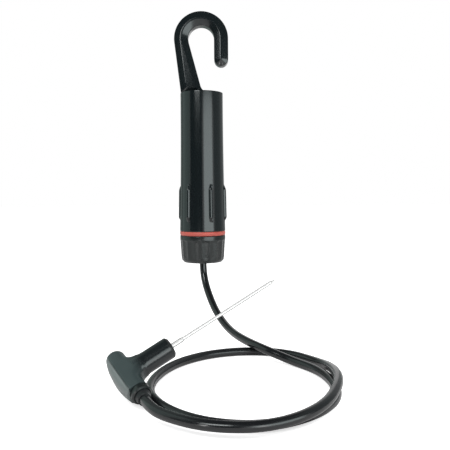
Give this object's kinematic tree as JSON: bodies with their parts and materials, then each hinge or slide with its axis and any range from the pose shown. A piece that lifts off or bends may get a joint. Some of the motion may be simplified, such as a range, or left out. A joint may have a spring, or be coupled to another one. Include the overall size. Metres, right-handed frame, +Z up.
{
  "type": "soil thermometer probe",
  "caption": "Hanging logger housing with a hook, screwed end cap and red seal, joined by a loose cable to a T-handled steel needle probe.",
  "frame": {"origin": "centre of the hook's inner arch, where the part hangs", "axes": "+Z up along the housing, the hook's mouth towards +X, +Y through the hook away from the front"},
  "size_m": [0.1431, 0.2582, 0.273],
  "materials": {
    "shell_black": "glossy black moulded plastic",
    "seal_red": "smooth salmon red silicone",
    "cap_black": "semi-gloss black moulded plastic",
    "carrier_grey": "matte moulded plastic",
    "board_green": "solder mask",
    "socket_white": "off-white moulded plastic",
    "wire_red": "insulated stranded wire",
    "cell_blue": "plain shrink sleeve over a steel can",
    "spring_steel": "plated spring steel",
    "cable_black": "glossy black cable jacket",
    "grommet_rubber": "soft black rubber",
    "handle_grey": "satin dark grey-green plastic",
    "palm_grey": "satin lighter grey plastic",
    "nose_black": "satin black plastic",
    "needle_steel": "polished stainless steel",
    "bead_black": "epoxy bead",
    "sleeve_black": "shrink sleeve",
    "boot_rubber": "moulded rubber",
    "chip_black": "moulded chip body"
  },
  "bodies": {
    "probe_line": {"battery_cell": "cell_blue", "battery_clip_high": "spring_steel", "battery_clip_low": "spring_steel", "board_chip_1": "chip_black", "board_chip_2": "chip_black", "board_chip_3": "chip_black", "board_screw_1": "spring_steel", "board_screw_2": "spring_steel", "board_socket": "socket_white", "boot_collar": "cap_black", "cable": "cable_black", "cable_boot": "boot_rubber", "cable_clamp": "cap_black", "cable_cores": "wire_red", "cable_grommet": "grommet_rubber", "cable_tail": "cable_black", "carrier": "carrier_grey", "circuit_board": "board_green", "grommet_washer": "spring_steel", "handle_body": "handle_grey", "handle_cover": "palm_grey", "lead_plug": "socket_white", "lead_wires": "wire_red", "needle_bush": "needle_steel", "needle_tip": "needle_steel", "needle_tube": "needle_steel", "nose_ring": "nose_black", "sensor_leads": "wire_red", "splice_sleeves": "sleeve_black", "thermistor": "bead_black"},
    "shell": {"hanging_hook": "shell_black", "barrel": "shell_black"},
    "seal": {"seal_ring": "seal_red"},
    "cap": {"end_cap": "cap_black"}
  },
  "joints": [
    {"name": "shell_lift", "type": "slide", "parent": "probe_line", "child": "shell", "axis": [0, 0, 1], "range_m": [0, 0.12]},
    {"name": "cap_travel", "type": "slide", "parent": "probe_line", "child": "seal", "axis": [0, 0, -1], "range_m": [0, 0.006]},
    {"name": "cap_turn", "type": "hinge", "parent": "seal", "child": "cap", "pos_m": [0, 0, -0.175], "axis": [0, 0, -1], "range_deg": [0, 1080]}
  ],
  "couplings": [
    {"joint": "cap_turn", "follows": "cap_travel", "rad_per_m": 3141.6}
  ]
}
